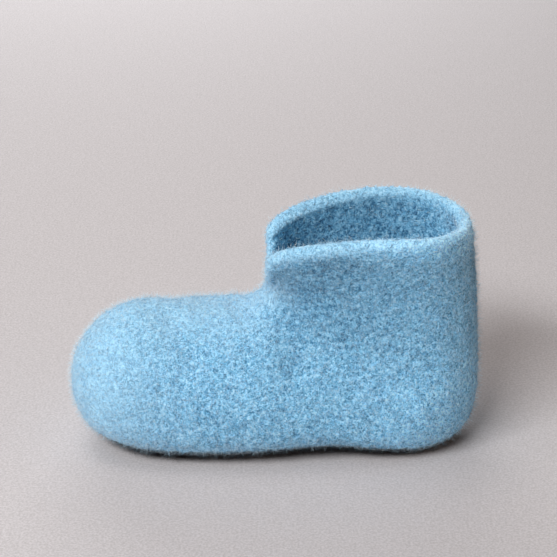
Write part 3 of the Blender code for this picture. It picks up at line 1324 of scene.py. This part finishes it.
def slipper_body() -> KnitBody:
    """Choose the body's sizes and finishes.

    Returns:
        The body, ready to build.
    """
    felt = FeltPiece(
        node="knit_body",
        name="felted_body",
        slot="felted_wool",
        finish=MattedWool(
            name="matted_wool",
            deep=display_colour(68, 126, 164),
            middle=display_colour(131, 197, 234),
            light=display_colour(177, 225, 251),
            # Pale colour of the painted light, and the colour lost in painted shade
            painted_shading=PaintedShadingLook(display_colour(190, 231, 252), loss=(1.16, 1.00, 0.90)),
        ),
        grain=0.0015,
        lump=0.0042,
        lump_height=0.00052,
        pill=0.0024,
        pill_height=0.00036,
    )
    fibre_loss = (1.04, 0.86, 0.74)
    # Each fibre look below has its own pale colour of painted light
    strand = WoolFibre(
        name="wool_strand",
        deep=display_colour(114, 178, 214),
        middle=display_colour(150, 213, 247),
        light=display_colour(185, 229, 251),
        painted_shading=PaintedShadingLook(display_colour(198, 234, 252), fibre_loss),
    )
    inner_strand = WoolFibre(
        name="wool_inside",
        deep=display_colour(58, 122, 168),
        middle=display_colour(142, 203, 238),
        light=display_colour(224, 250, 255),
        painted_shading=PaintedShadingLook(display_colour(204, 236, 252), fibre_loss),
    )
    fuzz = WoolFibre(
        name="wool_fuzz",
        deep=display_colour(166, 207, 230),
        middle=display_colour(200, 226, 240),
        light=display_colour(226, 240, 248),
        painted_shading=PaintedShadingLook(display_colour(222, 240, 250), fibre_loss),
    )
    edge_fuzz = WoolFibre(
        name="wool_edge_fuzz",
        deep=display_colour(150, 186, 208),
        middle=display_colour(180, 206, 222),
        light=display_colour(206, 224, 234),
        # Grey-blue painted shadow on the fuzz at the sole's edge
        painted_shading=PaintedShadingLook(display_colour(206, 220, 230), fibre_loss, trodden=display_colour(128, 150, 168)),
    )
    families = (
        FibreFamily(
            "matted_strands", Cover.OUTSIDE, strand,
            density=1.6e5, seed=11, length=0.0036, shortest=0.5, lowest_lift=-0.05, highest_lift=0.30,
            thickness=0.00055, rings=2, curl=0.0012, curl_size=0.0030, hump=0.08,
        ),
        FibreFamily(
            "matted_strands_fine", Cover.OUTSIDE, strand,
            density=1.3e5, seed=23, length=0.0032, shortest=0.5, lowest_lift=0.0, highest_lift=0.45,
            thickness=0.00032, rings=2, curl=0.0014, curl_size=0.0026, hump=0.08,
        ),
        FibreFamily(
            "halo", Cover.FUZZY, fuzz,
            density=5.5e5, seed=37, length=0.0060, shortest=0.35, lowest_lift=0.45, highest_lift=1.35,
            thickness=0.00013, rings=1, curl=0.0036, curl_size=0.0028, hump=0.04,
        ),
        FibreFamily(
            "down", Cover.FUZZY, fuzz,
            density=4.2e5, seed=71, length=0.0030, shortest=0.4, lowest_lift=0.40, highest_lift=1.35,
            thickness=0.00016, rings=1, curl=0.0020, curl_size=0.0020, hump=0.04,
        ),
        FibreFamily(
            "inside_strands", Cover.INSIDE, inner_strand,
            density=1.35e5, seed=41, length=0.0036, shortest=0.5, lowest_lift=0.0, highest_lift=0.45,
            thickness=0.00045, rings=2, curl=0.0014, curl_size=0.0028, hump=0.08,
        ),
        FibreFamily(
            "sole_curls", Cover.SOLE_EDGE, edge_fuzz,
            density=5.0e5, seed=53, length=0.0050, shortest=0.4, lowest_lift=0.10, highest_lift=0.90,
            thickness=0.00013, rings=2, curl=0.0040, curl_size=0.0024, hump=0.05,
        ),
    )
    middle_line = (
        (-0.105, 0.0, 0.042),
        (-0.030, 0.0, 0.044),
        (0.045, 0.0, 0.050),
        (0.068, 0.0, 0.075),
        (0.062, 0.0, 0.170),
    )
    creases = (
        # Dip from the top of the toes down their side
        Crease(
            start=(-0.0649, -0.0144, 0.0867), end=(-0.0487, -0.0385, 0.0668),
            width=0.0090, depth=0.0023, inward=(0.0, 0.66, -0.75),
        ),
        # Ridge on top of the instep
        Crease(
            start=(-0.0330, -0.0080, 0.0883), end=(-0.0235, -0.0224, 0.0827),
            width=0.0075, depth=-0.0016, inward=(0.0, 0.45, -0.88),
        ),
        # Trough down the front of the ankle
        Crease(
            start=(0.0065, -0.0250, 0.1010), end=(0.0108, -0.0404, 0.0638),
            width=0.0085, depth=0.0020, inward=(-0.10, 0.90, 0.0),
        ),
        # Thin trough on the side of the foot
        Crease(
            start=(-0.0315, -0.0462, 0.0520), end=(-0.0214, -0.0491, 0.0400),
            width=0.0030, depth=0.0007, inward=(0.0, 0.97, -0.2),
        ),
        # Thin trough in the lower part of the one at the ankle
        Crease(
            start=(0.0108, -0.0324, 0.0777), end=(0.0108, -0.0404, 0.0600),
            width=0.0024, depth=0.0006, inward=(0.0, 0.9, -0.4),
        ),
        # Thin trough on the side of the heel
        Crease(
            start=(0.0635, -0.0393, 0.0557), end=(0.0639, -0.0425, 0.0355),
            width=0.0024, depth=0.0005, inward=(0.0, 0.98, -0.15),
        ),
        # Low swell towards the back of the heel
        Crease(
            start=(0.0880, -0.0371, 0.0390), end=(0.0990, -0.0340, 0.0470),
            width=0.0130, depth=-0.0012, inward=(-0.3, 0.95, 0.0),
        ),
    )
    return KnitBody(felt, creases, families, middle_line)


def slipper_insole() -> Insole:
    """Choose the insole's sizes and finish.

    Returns:
        The insole, ready to build.
    """
    return Insole(
        FeltPiece(
            node="insole",
            name="felt_insole",
            slot="insole_felt",
            finish=MattedWool(
                name="insole_wool",
                deep=display_colour(80, 132, 164),
                middle=display_colour(120, 174, 206),
                light=display_colour(158, 206, 230),
                painted_shading=PaintedShadingLook(display_colour(180, 214, 232), loss=(1.10, 1.00, 0.92)),
                strand_size=0.0012,
            ),
            grain=0.0016,
            lump=0.0040,
            lump_height=0.00012,
            pill=0.0026,
            pill_height=0.00008,
            rounding=1,
        )
    )


def soft_studio() -> Studio:
    """Choose the light and the view.

    Returns:
        The studio, ready to build.
    """
    white = (0.98, 0.99, 1.0, 1.0)
    warm = (1.0, 0.82, 0.70, 1.0)
    amber = (1.0, 0.76, 0.60, 1.0)
    return Studio(
        floor=PalePaper(),
        lamps=(
            AreaLamp("window", (-0.939, -1.341, 1.597), wide=1.40, tall=0.45, watts=50.0, colour=white),
            AreaLamp("far_wall", (-0.252, 1.428, 0.726), wide=1.20, tall=0.60, watts=13.0, colour=white),
            AreaLamp("ceiling", (-0.450, 0.000, 1.550), wide=0.80, tall=0.80, watts=5.0, colour=warm),
            AreaLamp("right_wall", (1.200, -0.450, 0.500), wide=0.80, tall=0.60, watts=1.6, colour=amber),
        ),
        surround=display_colour(222, 204, 190),
        surround_strength=0.03,
        eye=(0.0, -1.0644, 0.6141),
        aim=(0.0023, 0.0192, 0.0970),
        lens=126.15,
        sensor=36.0,
    )


def main() -> None:
    """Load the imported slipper, build its looks and the studio, and report each piece."""
    logging.basicConfig(level=logging.INFO, format="%(message)s")
    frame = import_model()
    pieces = slipper_body().build(frame["nodes"]["knit_body"])
    pieces.append(slipper_insole().build(frame["nodes"]["insole"]))
    soft_studio().build()
    for piece in pieces:
        LOG.info("%s: %d faces", piece.name, len(piece.data.polygons))


if __name__ == "__main__":
    main()
